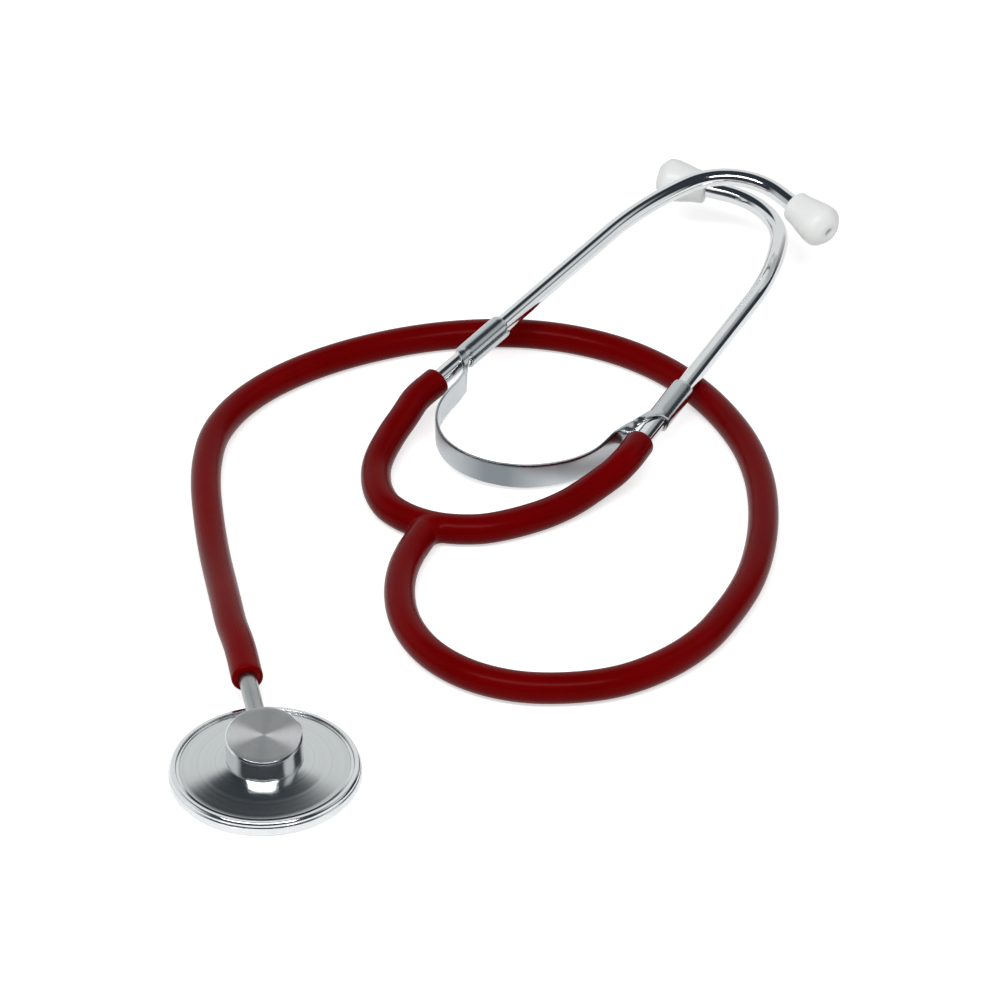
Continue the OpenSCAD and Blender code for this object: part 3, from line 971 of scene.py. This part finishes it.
@dataclass
class Chestpiece:
    """The dish with its hub, the ring, the diaphragm and the stem."""

    ring_r: float = 24.0
    ring_h: float = 3.8
    thread_r: float = 22.2
    lip_r: float = 20.8
    lip_t: float = 0.8
    rim_r: float = 22.16
    rim_z: float = 1.23
    edge_z: float = 3.4
    bevel_r: float = 21.36
    hub_r: float = 9.6
    hub_base_z: float = 5.8
    hub_top_z: float = 12.9
    hub_slope: float = 3.2 / 19.2
    undercut: float = 0.25
    diaphragm_z: float = 0.84
    diaphragm_t: float = 0.35
    stem_r: float = 2.3
    stem_bore_r: float = 1.6
    stem_z: float = 9.5
    stem_from: float = 4.6
    stem_in_hose: float = 13.0
    rib_r: float = 0.19
    rib_l: float = 1.9
    rib_z: float = 1.45
    ribs: int = 270
    sides: int = 192
    # Lengths in metres
    cut: float = 0.0012
    hub_foot: float = 0.0062

    def build(self) -> None:
        """Makes every piece of the chestpiece."""
        self.dish()
        self.ring()
        self.reeding()
        self.diaphragm()
        self.stem()

    def dish(self) -> None:
        """The dish and hub in one, with turned faces and a polished wall."""
        profile = rounded(
            [
                (0, self.rim_z + 4.3, 0), (1.6, self.rim_z + 4.3, 0), (20.7, self.rim_z, 0.1),
                (self.rim_r, self.rim_z, 0.15), (self.rim_r, self.edge_z, 0.12),
                (self.bevel_r, self.edge_z + 0.3, 0.12), (self.bevel_r - 0.12, self.edge_z + 0.02, 0.1),
                (15.5, self.edge_z + 1.13, 6), (self.hub_r + 0.2, self.hub_base_z - 0.02, 0.6),
                (self.hub_r - self.undercut, self.hub_base_z - 0.05, 0.15),
                (self.hub_r - self.undercut, self.hub_base_z + self.undercut, 0.1),
                (self.hub_r, self.hub_base_z + self.undercut, 0.12),
                (self.hub_r, self.hub_top_z - 0.4, 0.08), (self.hub_r - 0.4, self.hub_top_z, 0.12),
                (0, self.hub_top_z, 0),
            ],
            closed=False,
        )
        rings = []
        for (r0, z0), (r1, z1) in zip(profile, profile[1:]):
            cuts = max(1, round(math.hypot(r1 - r0, z1 - z0) / self.cut))
            rings += [(r0 + (r1 - r0) * k / cuts, z0 + (z1 - z0) * k / cuts) for k in range(cuts)]
        rings.append(profile[-1])
        top = (self.hub_top_z - 0.55) * MM

        def place(radius: float, angle: float, high: float) -> Vector:
            """Tilts the hub's top."""
            point = upright(radius, angle, high)
            share = (high - self.hub_foot) / (top - self.hub_foot)
            point.z += self.hub_slope * point.y * min(1.0, max(0.0, share))
            return point

        mesh = lathed(rings, self.sides, place, closed=False)
        for face in mesh.faces:
            centre = face.calc_center_median()
            radius = math.hypot(centre.x, centre.y)
            tilted = centre.z - self.hub_slope * centre.y
            on_wall = radius > (self.hub_r - 0.5) * MM and centre.z > (self.hub_base_z + 0.2) * MM
            if tilted > top and radius < (self.hub_r - 0.45) * MM:
                face.material_index = 1
            elif on_wall or radius > (self.bevel_r - 0.1) * MM:
                face.material_index = 2
        piece = to_object("dish_and_hub", mesh, [DISH_METAL, HUB_METAL, HUB_WALL], sharp=30.0)
        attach(piece, Body.ROOT.value)
        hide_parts("chestpiece_body")
        report(piece)

    def ring(self) -> None:
        """The screwed ring round the dish, without its reeding."""
        side = self.ring_r - 0.14
        profile = rounded(
            [
                (self.lip_r, 0, 0.15), (side - 0.35, 0, 0.3), (side, 0.45, 0.2), (side, 2.45, 0.3),
                (side - 0.25, 2.7, 0.2), (side - 0.15, self.ring_h - 0.55, 0.4),
                (side - 0.7, self.ring_h, 0.5), (self.thread_r, self.ring_h, 0.15),
                (self.thread_r, self.lip_t, 0.05), (self.lip_r, self.lip_t, 0.1),
            ]
        )
        mesh = lathed(profile, self.sides, upright, closed=True)
        piece = to_object("ring", mesh, [RING_CHROME], sharp=35.0)
        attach(piece, Body.RING.value)
        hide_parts("retaining_ring")
        report(piece)

    def reeding(self) -> None:
        """The upright ribs round the ring's side, set round a circle by Geometry Nodes."""
        tree = bpy.data.node_groups.new("reeding", "GeometryNodeTree")
        tree.interface.new_socket(name="Geometry", in_out="OUTPUT", socket_type="NodeSocketGeometry")
        sizes = {
            "Ribs": self.ribs,
            "Radius": (self.ring_r - self.rib_r) * MM,
            "Rib radius": self.rib_r * MM,
            "Rib height": self.rib_l * MM,
            "Height": self.rib_z * MM,
        }
        names = {}
        for name, size in sizes.items():
            kind = "NodeSocketInt" if isinstance(size, int) else "NodeSocketFloat"
            names[name] = tree.interface.new_socket(name=name, in_out="INPUT", socket_type=kind).identifier
        nodes, links = tree.nodes, tree.links
        given = nodes.new("NodeGroupInput").outputs
        circle = nodes.new("GeometryNodeMeshCircle")
        links.new(given["Ribs"], circle.inputs["Vertices"])
        links.new(given["Radius"], circle.inputs["Radius"])
        rib = nodes.new("GeometryNodeMeshCylinder")
        rib.inputs["Vertices"].default_value = 8
        links.new(given["Rib radius"], rib.inputs["Radius"])
        links.new(given["Rib height"], rib.inputs["Depth"])
        smooth = nodes.new("GeometryNodeSetShadeSmooth")
        links.new(rib.outputs["Mesh"], smooth.inputs["Geometry"])
        raise_by = nodes.new("ShaderNodeCombineXYZ")
        links.new(given["Height"], raise_by.inputs["Z"])
        lift = nodes.new("GeometryNodeSetPosition")
        links.new(circle.outputs["Mesh"], lift.inputs["Geometry"])
        links.new(raise_by.outputs[0], lift.inputs["Offset"])
        spread = nodes.new("GeometryNodeInstanceOnPoints")
        links.new(lift.outputs[0], spread.inputs["Points"])
        links.new(smooth.outputs[0], spread.inputs["Instance"])
        real = nodes.new("GeometryNodeRealizeInstances")
        links.new(spread.outputs[0], real.inputs[0])
        dress = nodes.new("GeometryNodeSetMaterial")
        dress.inputs["Material"].default_value = RING_CHROME.material()
        links.new(real.outputs[0], dress.inputs["Geometry"])
        links.new(dress.outputs[0], nodes.new("NodeGroupOutput").inputs[0])
        piece = bpy.data.objects.new("ring_reeding", bpy.data.meshes.new("ring_reeding"))
        bpy.context.scene.collection.objects.link(piece)
        modifier = piece.modifiers.new("reeding", "NODES")
        modifier.node_group = tree
        for name, size in sizes.items():
            modifier[names[name]] = size
        plain_copy(piece)
        piece.data.set_sharp_from_angle(angle=math.radians(50))
        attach(piece, Body.RING.value)
        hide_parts("retaining_ring")
        report(piece)

    def diaphragm(self) -> None:
        """The stiff sheet across the chestpiece's underside, held by the ring's lip."""
        low, high = self.diaphragm_z, self.diaphragm_z + self.diaphragm_t
        edge = self.rim_r - 0.2
        profile = rounded(
            [
                (0, low, 0), (18.6, low, 1.5), (19.2, low - 0.06, 0.8), (20.4, low - 0.02, 0.8),
                (edge, low, 0.1), (edge, high, 0.1), (0, high, 0),
            ],
            closed=False,
        )
        mesh = lathed(profile, self.sides, upright, closed=False)
        piece = to_object("diaphragm_sheet", mesh, [FIBRE], sharp=50.0)
        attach(piece, Body.ROOT.value)
        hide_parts("diaphragm")
        report(piece)

    def stem(self) -> None:
        """The metal tube from the hub into the hose."""
        heading = Vector((MAIN_POINTS[0][0], MAIN_POINTS[0][1], 0)).normalized()
        foot = heading * self.stem_from * MM + Vector((0, 0, self.stem_z * MM))
        length = math.hypot(*MAIN_POINTS[0][:2]) - self.stem_from + self.stem_in_hose
        line = Line([foot, foot + heading * length * MM])
        stations = rounded(
            [
                (0, self.stem_bore_r, 0.1), (0, self.stem_r, 0.2),
                (length, self.stem_r, 0.3), (length, self.stem_bore_r, 0.1),
            ]
        )
        piece = to_object("stem_tube", swept(line, stations, 48, True), [STEM_METAL])
        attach(piece, Body.ROOT.value)
        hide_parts("stem")
        report(piece)


# ---------------------------------------------------------------- ear tubes

# Turns round the tube, in degrees, of the sheet's columns: the neck's own and the whole sleeve's
NECK_TURNS = [50 + 12.5 * k for k in range(9)]
SLEEVE_TURNS = [24, 29, 39, *NECK_TURNS, *[160 + 10.4 * k for k in range(20)], 362.5, 368]
NECK_FIRST = SLEEVE_TURNS.index(NECK_TURNS[0])
NECK_LAST = NECK_FIRST + len(NECK_TURNS) - 1


@dataclass
class EarPiece:
    """One side's ear tube, eartip and half of the spring with its rolled sleeve."""

    side: str
    hose: Line
    roll: float
    mirrored: bool
    arm: Body
    tube: Body
    tip: Body
    strip: Line
    half: float
    crossed: bool
    flap: float
    bend_from: Point
    bend_to: Point
    tube_r: float = 2.5
    wall: float = 0.6
    in_hose: float = 9.0
    straight: float = 73.8
    wide_r: float = 96.0
    wide_a: float = 18.0
    tight_r: float = 20.5
    tight_a: float = 81.0
    end: float = 6.0
    screw: float = 7.0
    sleeve_from: float = 11.3
    sleeve_l: float = 15.5
    sleeve_gap: float = 0.16
    sheet_t: float = 0.7
    strip_w: float = 7.2
    corner: float = 0.8
    # Turns round the sleeve in degrees: its two edges, the run of their corners and the flap
    first_edge: float = 32.0
    last_edge: float = 360.0
    corner_run: float = 8.0
    flap_at: float = 212.0
    flap_half: float = 60.0
    # How the neck leaves the sleeve and reaches the strip, as shares of its length
    twist_from: float = 0.25
    twist_over: float = 0.65
    sleeve_pull: float = 0.6
    strip_pull: float = 0.5
    crossed_pull: float = 0.8
    # Lengths in metres
    strip_spacing: float = 0.0016
    past_half: float = 0.002
    clearance: float = 0.0001
    lean: float = 0.0015
    bevel: float = 0.00012
    # Counts
    rows: int = 14
    ribs: int = 14
    relaxed: int = 14
    # Set by __post_init__
    origin: Vector = field(init=False)
    heading: Vector = field(init=False)
    inner: Vector = field(init=False)
    upper: Vector = field(init=False)
    middle_r: float = field(init=False)

    def __post_init__(self) -> None:
        """Works out the directions at the hose's end and the radius of the sleeve's middle."""
        self.origin, self.heading = self.hose.at(self.hose.length)
        self.inner = self.heading.cross(UP).normalized() * (1 if self.mirrored else -1)
        self.upper = (UP - self.heading * self.heading.z).normalized()
        self.middle_r = (self.tube_r + self.sleeve_gap + self.sheet_t / 2) * MM

    def place(self) -> Matrix:
        """The ear tube's own frame: origin at the hose's end, X along the tube, bends towards Y."""
        origin, heading = self.origin, self.heading
        level = math.hypot(heading.x, heading.y)
        turned = (
            Matrix.Translation(origin)
            @ Matrix.Rotation(math.atan2(heading.y, heading.x), 4, "Z")
            @ Matrix.Rotation(-math.atan2(heading.z, level), 4, "Y")
            @ Matrix.Rotation(math.radians(self.roll), 4, "X")
        )
        return turned @ Matrix.Scale(-1, 4, (0, 1, 0)) if self.mirrored else turned

    def tube_line(self) -> tuple[Line, Line]:
        """The tube's centreline, and the eartip's axis beyond it."""
        flat = [Vector((x, 0, 0)) for x in (-self.in_hose, -self.in_hose / 2, 0)]
        flat += [Vector((self.straight * k / 20, 0, 0)) for k in range(1, 21)]
        point, facing = flat[-1], 0.0
        for radius, angle, steps in ((self.wide_r, self.wide_a, 14), (self.tight_r, self.tight_a, 40)):
            turn = math.radians(angle) / steps
            for _ in range(steps):
                chord = 2 * radius * math.sin(turn / 2)
                middle = facing + turn / 2
                point = point + Vector((math.cos(middle), math.sin(middle), 0)) * chord
                facing += turn
                flat.append(point)
        ahead = Vector((math.cos(facing), math.sin(facing), 0))
        tip = [point + ahead * self.end, point + ahead * (self.end + 20)]
        flat += [point + ahead * (self.end * k / 3) for k in range(1, 4)]
        flat.append(point + ahead * (self.end + self.screw - 0.5))
        matrix = self.place()
        return Line([matrix @ (p * MM) for p in flat]), Line([matrix @ (p * MM) for p in tip])

    def build(self) -> None:
        """Makes the tube, the eartip and the spring's half."""
        line, axis = self.tube_line()
        self.build_tube(line)
        self.build_tip(axis)
        self.build_spring()

    def build_tube(self, line: Line) -> None:
        """The bent tube, open at both ends, with a narrower screwed end."""
        radius, inner = self.tube_r * MM, (self.tube_r - self.wall) * MM
        neck = line.length - (self.screw - 0.5) * MM
        chamfer, spacing = 0.0003, 0.0012
        slim = radius - chamfer
        outer = [(s, radius) for s in line.marks(chamfer, neck, spacing)]
        narrow = [(neck + 0.0001, slim), (line.length - chamfer, slim), (line.length, radius - 0.0005)]
        bore = [(s, inner) for s in line.marks(line.length, 0.0, 2 * spacing)]
        stations = [(0.0, slim), *outer, *narrow, *bore]
        piece = to_object(f"{self.side}_tube", swept(line, stations, 40, True), [CHROME])
        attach(piece, self.tube.value)
        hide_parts(f"{self.side}_ear_tube")
        report(piece)

    def build_tip(self, axis: Line) -> None:
        """The eartip: a narrow base that widens to a domed end with a small hole."""
        stations = rounded(
            [
                (0.04, 2.26, 0.1), (0.04, 4.5, 0.9), (3.2, 4.85, 4), (6.2, 5.5, 5), (9.2, 6.1, 3),
                (12.0, 6.2, 3.2), (14.5, 3.4, 2.6), (14.55, 1.75, 0.7), (13.9, 1.1, 0.4),
                (7.5, 1.1, 0), (7.5, 2.26, 0),
            ],
            steps=6,
        )
        piece = to_object(f"{self.side}_tip", swept(axis, stations, 64, True), [MILKY], sharp=60.0)
        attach(piece, self.tip.value)
        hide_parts(f"{self.side}_eartip")
        report(piece)

    def border(self, turn: float) -> float:
        """How far along the tube the sleeve's lower border lies, in millimetres."""
        off = max(-self.flap_half, min(self.flap_half, turn - self.flap_at))
        flap = self.flap * math.cos(math.radians(off * (90.0 / self.flap_half))) ** 2
        before = max(0.0, (self.first_edge - turn) / self.corner_run) ** 2
        return self.sleeve_from + before - flap + max(0.0, (turn - self.last_edge) / self.corner_run) ** 2

    def on_sleeve(self, turn: float, along: float) -> Vector:
        """A place on the sleeve, at a turn in degrees and a length in millimetres."""
        angle = math.radians(turn)
        outward = math.cos(angle) * self.inner + math.sin(angle) * self.upper
        return self.origin + self.heading * along * MM + self.middle_r * outward

    def clear_of_tube(self, point: Vector) -> Vector:
        """Moves a place up and inwards until it clears the tube."""
        reach = self.middle_r + self.clearance
        away = point - self.origin
        away -= self.heading * away.dot(self.heading)
        if away.length >= reach:
            return point
        push = (away + (self.inner + self.upper) * self.lean).normalized()
        sunk = away.dot(push)
        return point + push * (math.sqrt(sunk * sunk + reach * reach - away.length_squared) - sunk)

    def roll_sleeve(self, grid: SheetGrid) -> None:
        """Lays the sleeve's columns round the tube."""
        top = self.sleeve_from + self.sleeve_l
        for k, turn in enumerate(SLEEVE_TURNS):
            low = self.border(turn)
            past = max(self.first_edge - turn, turn - self.last_edge) / self.corner_run
            high = top - self.corner * max(0.0, past) ** 2
            for j in range(self.rows + 1):
                along = low + (high - low) * j / self.rows
                flat = (math.radians(turn) * self.middle_r, along * MM)
                grid.put(k, j, self.on_sleeve(turn, along), flat)

    def lay_neck(self, grid: SheetGrid) -> None:
        """Lays the neck's columns from the sleeve's border, and the strip's beyond them."""
        marks = self.strip.marks(0.0, self.half + self.past_half, self.strip_spacing)
        start, leaving = self.strip.at(0.0)
        halfway = (NECK_TURNS[0] + NECK_TURNS[-1]) / 2
        crest = self.on_sleeve(halfway, self.border(halfway))
        spread = grid.vertices[NECK_LAST, 0].co - grid.vertices[NECK_FIRST, 0].co
        pull = (crest - start).length
        for column in range(NECK_FIRST, NECK_LAST + 1):
            share = (column - NECK_FIRST) / (NECK_LAST - NECK_FIRST) - 0.5
            across = share * self.strip_w * MM * (-1 if self.crossed else 1)
            root = grid.vertices[column, 0]
            foot = grid.flat[root][1]
            end = start + UP * across
            gap = (root.co - end).length
            arch = root.co - crest - spread * share
            for i in range(1, self.ribs):
                t = i / self.ribs
                if self.crossed:
                    twist = min(1.0, max(0.0, (t - self.twist_from) / self.twist_over))
                    lie = spread.normalized().lerp(-UP, twist * twist * (3 - 2 * twist)).normalized()
                    width = spread.length + (self.strip_w * MM - spread.length) * t
                    arrive = leaving * pull * self.crossed_pull
                    centre = curve_point(crest, start - crest, start, arrive, t)
                    place = centre + lie * width * share + arch * (1 - t) ** 2
                else:
                    leave, arrive = -self.heading * gap * self.sleeve_pull, leaving * gap * self.strip_pull
                    place = curve_point(root.co, leave, end, arrive, t)
                grid.put(column, -i, self.clear_of_tube(place), (across, foot - pull * t))
            for i, mark in enumerate(marks):
                place = self.strip.at(mark)[0] + UP * across
                grid.put(column, -self.ribs - i, place, (across, foot - pull - mark))

    def relax_neck(self, grid: SheetGrid) -> None:
        """Evens out the neck between the sleeve and the strip."""
        for _ in range(self.relaxed):
            smoothed = {}
            for column in range(NECK_FIRST, NECK_LAST + 1):
                for i in range(1, self.ribs):
                    near = [(column, 1 - i), (column, -i - 1)]
                    if NECK_FIRST < column < NECK_LAST:
                        near += [(column - 1, -i), (column + 1, -i)]
                    spots = [self.clear_of_tube(grid.vertices[at].co) for at in near]
                    smoothed[column, -i] = sum(spots, Vector()) / len(spots)
            for at, spot in smoothed.items():
                grid.vertices[at].co = self.clear_of_tube(spot)

    def build_spring(self) -> None:
        """Half of the spring strip: the strip, its twisted neck and the sleeve rolled from it."""
        grid = SheetGrid()
        self.roll_sleeve(grid)
        self.lay_neck(grid)
        self.relax_neck(grid)
        piece = to_object(f"{self.side}_spring", grid.close(), [SPRING_STEEL])
        thick = piece.modifiers.new("sheet", "SOLIDIFY")
        thick.thickness = self.sheet_t * MM
        thick.offset = 0.0
        thick.use_even_offset = True
        edge = piece.modifiers.new("edges", "BEVEL")
        edge.width = self.bevel
        edge.segments = 2
        edge.limit_method = "ANGLE"
        edge.angle_limit = math.radians(50)
        plain_copy(piece)
        self.cut_half(piece)
        piece.data.shade_smooth()
        piece.data.set_sharp_from_angle(angle=math.radians(45))
        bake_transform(piece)
        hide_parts(f"{self.side}_ferrule", "spring_strip")
        report(piece)

    def cut_half(self, piece: bpy.types.Object) -> None:
        """Cuts the strip square where it meets the other half."""
        point, ahead = self.strip.at(self.half)
        mesh = bmesh.new()
        mesh.from_mesh(piece.data)
        cut_square(mesh, [*mesh.verts, *mesh.edges, *mesh.faces], point, ahead)
        bmesh.ops.recalc_face_normals(mesh, faces=mesh.faces)
        mesh.to_mesh(piece.data)
        mesh.free()


BOW: tuple[Point, ...] = (
    (48.6, 160.3, 10.4), (46.7, 154.2, 11.3), (43.8, 148.9, 11), (41.5, 143.7, 10),
    (41, 138, 9), (42.8, 132.3, 7.8), (46.8, 127.7, 6.8), (52.3, 124.5, 6), (58.4, 122.8, 5.4),
    (65, 122.4, 5), (71.8, 123.4, 5), (78.4, 125.5, 5.3), (84.3, 128.7, 6.3), (89.2, 133, 8.7),
)
BOW_STEPS = 8
BOW_MIDDLE = 8


# ---------------------------------------------------------------- studio


@dataclass
class Studio:
    """The pale floor, the soft lamp over the front and the room round them."""

    floor_size: float = 3.0
    floor_z: float = -0.00002
    glow: float = 0.3
    camera_glow: float = 0.26
    lamp_place: Point = (-0.05, -0.38, 0.82)
    lamp_aim: Point = (0.05, 0.1, 0.0)
    lamp_size: tuple[float, float] = (1.0, 0.16)
    lamp_power: float = 6.4
    dark_room: tuple = tone(0.03, 0.038, 0.048)
    bright_room: tuple = tone(0.84, 0.86, 0.86)
    even_light: tuple = tone(0.42, 0.42, 0.42)

    def build(self) -> None:
        """Makes the floor, the lamp and the world."""
        self.floor()
        self.lamp("front_top", self.lamp_place, self.lamp_size, self.lamp_power, self.lamp_aim)
        self.world()
        bpy.context.scene.view_settings.view_transform = "Standard"

    def floor(self) -> None:
        """The floor, which shows white and keeps the object's shadow."""
        half = self.floor_size / 2
        data = bpy.data.meshes.new("floor")
        corners = ((-half, -half), (half, -half), (half, half), (-half, half))
        data.from_pydata([(x, y, self.floor_z) for x, y in corners], [], [(0, 1, 2, 3)])
        floor = bpy.data.objects.new("floor", data)
        bpy.context.scene.collection.objects.link(floor)
        material = bpy.data.materials.new("white_floor")
        material.use_nodes = True
        shader = Shader(material.node_tree)
        rays = shader.node("ShaderNodeLightPath").outputs
        kinds = ("Is Camera Ray", "Is Glossy Ray", "Is Transmission Ray")
        camera, glossy, through = (Value(shader, rays[kind]) for kind in kinds)
        seen = shader.maths("MAXIMUM", camera, shader.maths("MAXIMUM", glossy, through))
        grain = shader.noise(shader.place(), 400.0, 2.0)
        surface = shader.node(
            "ShaderNodeBsdfPrincipled",
            {},
            {
                "Base Color": shader.mix(grain, tone(0.8, 0.8, 0.8), tone(0.82, 0.82, 0.82)),
                "Roughness": 0.9,
                "Specular IOR Level": 0.0,
                "Emission Color": tone(1, 1, 1),
                "Emission Strength": self.glow * seen + self.camera_glow * camera,
            },
        )
        shader.finish(surface.outputs[0])
        data.materials.append(material)

    def lamp(self, name: str, place: Point, size: tuple[float, float], power: float, aim: Point) -> None:
        """A rectangular soft lamp.

        Args:
            name: Its name.
            place: Where it hangs.
            size: Its width and depth.
            power: Its power in watts.
            aim: The point it faces.
        """
        data = bpy.data.lights.new(name, "AREA")
        data.shape = "RECTANGLE"
        data.size, data.size_y = size
        data.energy = power
        lamp = bpy.data.objects.new(name, data)
        lamp.location = place
        lamp.rotation_euler = (Vector(aim) - Vector(place)).to_track_quat("-Z", "Y").to_euler()
        bpy.context.scene.collection.objects.link(lamp)

    def world(self) -> None:
        """A dim room for the reflections: a low bright wall behind, a window and a card on the right."""
        world = bpy.data.worlds.new("room")
        bpy.context.scene.world = world
        world.use_nodes = True
        shader = Shader(world.node_tree)
        across, back, high = shader.parts(shader.place("Generated"))
        # Each patch is a range of heights, seen along its own direction
        low = 1.0 - (high - 0.06 * across + 0.1 * (16 * across * across).clamped()).step_from(0.78, 0.84)
        behind = (0.87 * back - 0.5 * across).step_from(0.08, 0.4)
        card = (0.66 * across + 0.2 * back + 0.72 * high).step_from(0.925, 0.975)
        window = (0.94 * across - 0.24 * back + 0.23 * high).step_from(0.93, 0.97)
        bright = (low * behind + window + 0.9 * card).clamped()
        glossy = Value(shader, shader.node("ShaderNodeLightPath").outputs["Is Glossy Ray"])
        room = shader.mix(bright, self.dark_room, self.bright_room)
        colour = shader.mix(glossy, self.even_light, room)
        background = shader.node("ShaderNodeBackground", {}, {"Color": colour, "Strength": 1.0})
        shader.node("ShaderNodeOutputWorld", {}, {"Surface": background.outputs[0]})


def main() -> None:
    """Builds the camera, the cords and every other piece, and lights them."""
    logging.basicConfig(level=logging.INFO, format="%(name)s %(message)s")
    Camera().build()
    hoses = Hoses()
    hoses.build()
    log.info("hose lengths: %.4f %.4f %.4f", hoses.main.length, hoses.left.length, hoses.right.length)
    Chestpiece().build()
    strip = Line.through(BOW, BOW_STEPS)
    split = strip.lengths[BOW_MIDDLE * BOW_STEPS]
    EarPiece(
        side="left", hose=hoses.left, roll=8.2, mirrored=True,
        arm=Body.LEFT_ARM, tube=Body.LEFT_TUBE, tip=Body.LEFT_TIP,
        strip=strip, half=split, crossed=False, flap=0.0,
        bend_from=(54, 123, 6), bend_to=(49, 158, 12),
    ).build()
    EarPiece(
        side="right", hose=hoses.right, roll=5.8, mirrored=False,
        arm=Body.RIGHT_ARM, tube=Body.RIGHT_TUBE, tip=Body.RIGHT_TIP,
        strip=Line(list(reversed(strip.points))), half=strip.length - split, crossed=True, flap=1.0,
        bend_from=(66, 122, 5), bend_to=(90, 134, 8), relaxed=42,
    ).build()
    Studio().build()
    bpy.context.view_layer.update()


if __name__ == "__main__":
    main()
